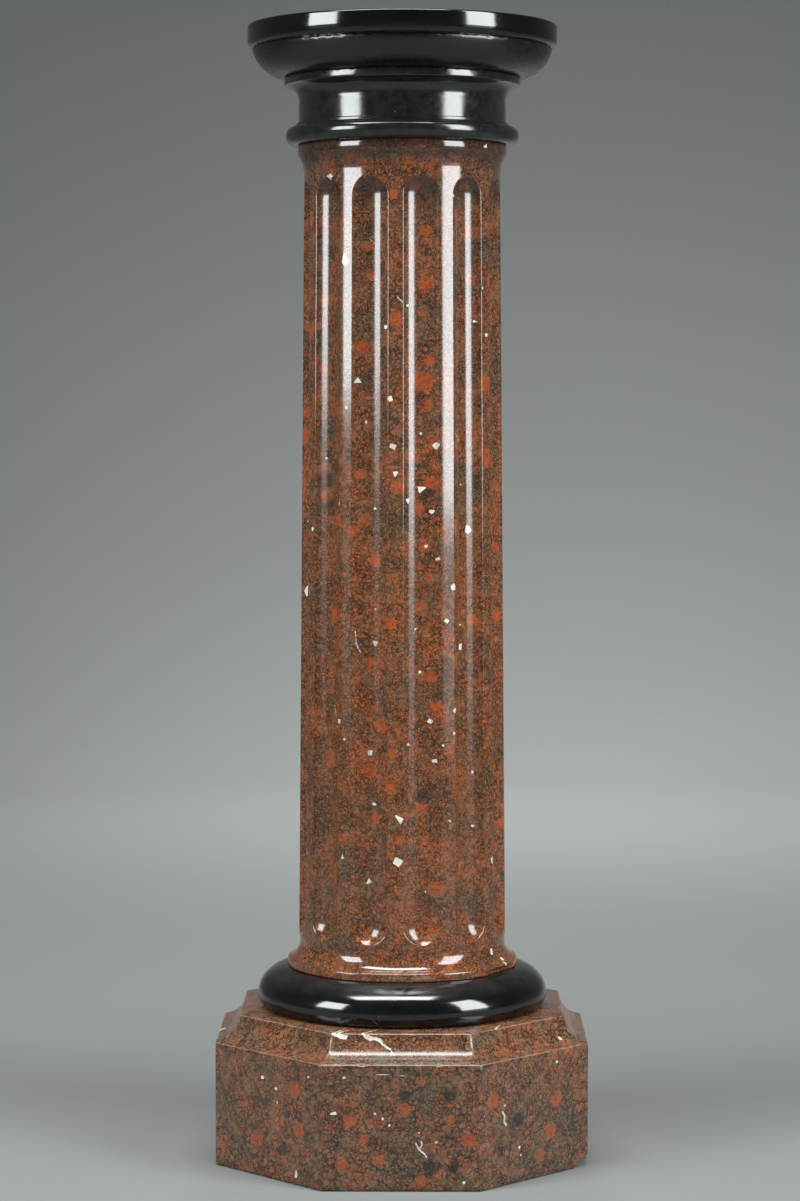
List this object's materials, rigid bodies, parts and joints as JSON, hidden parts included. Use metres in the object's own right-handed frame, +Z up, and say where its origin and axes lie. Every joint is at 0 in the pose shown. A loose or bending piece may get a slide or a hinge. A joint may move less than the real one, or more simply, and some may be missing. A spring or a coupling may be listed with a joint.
{
  "type": "scagliola pedestal column",
  "caption": "Fluted pedestal column of red scagliola on an octagonal plinth, with a black base ring and a round black capital whose flat top carries a bust or vase.",
  "frame": {"origin": "centre of the plinth's underside, on the floor", "axes": "+Z up along the column's axis, -Y out of the plinth's front face, +X to the right seen from the front"},
  "size_m": [0.36, 0.36, 1.1],
  "materials": {
    "red_scagliola": "polished brick-red scagliola with dark matrix and scattered white chips",
    "black_marble": "polished black marble, worn and dusty"
  },
  "bodies": {
    "root": {"plinth": "red_scagliola", "base_ring": "black_marble", "shaft": "red_scagliola", "capital_neck": "black_marble", "capital_top": "black_marble"}
  },
  "joints": []
}
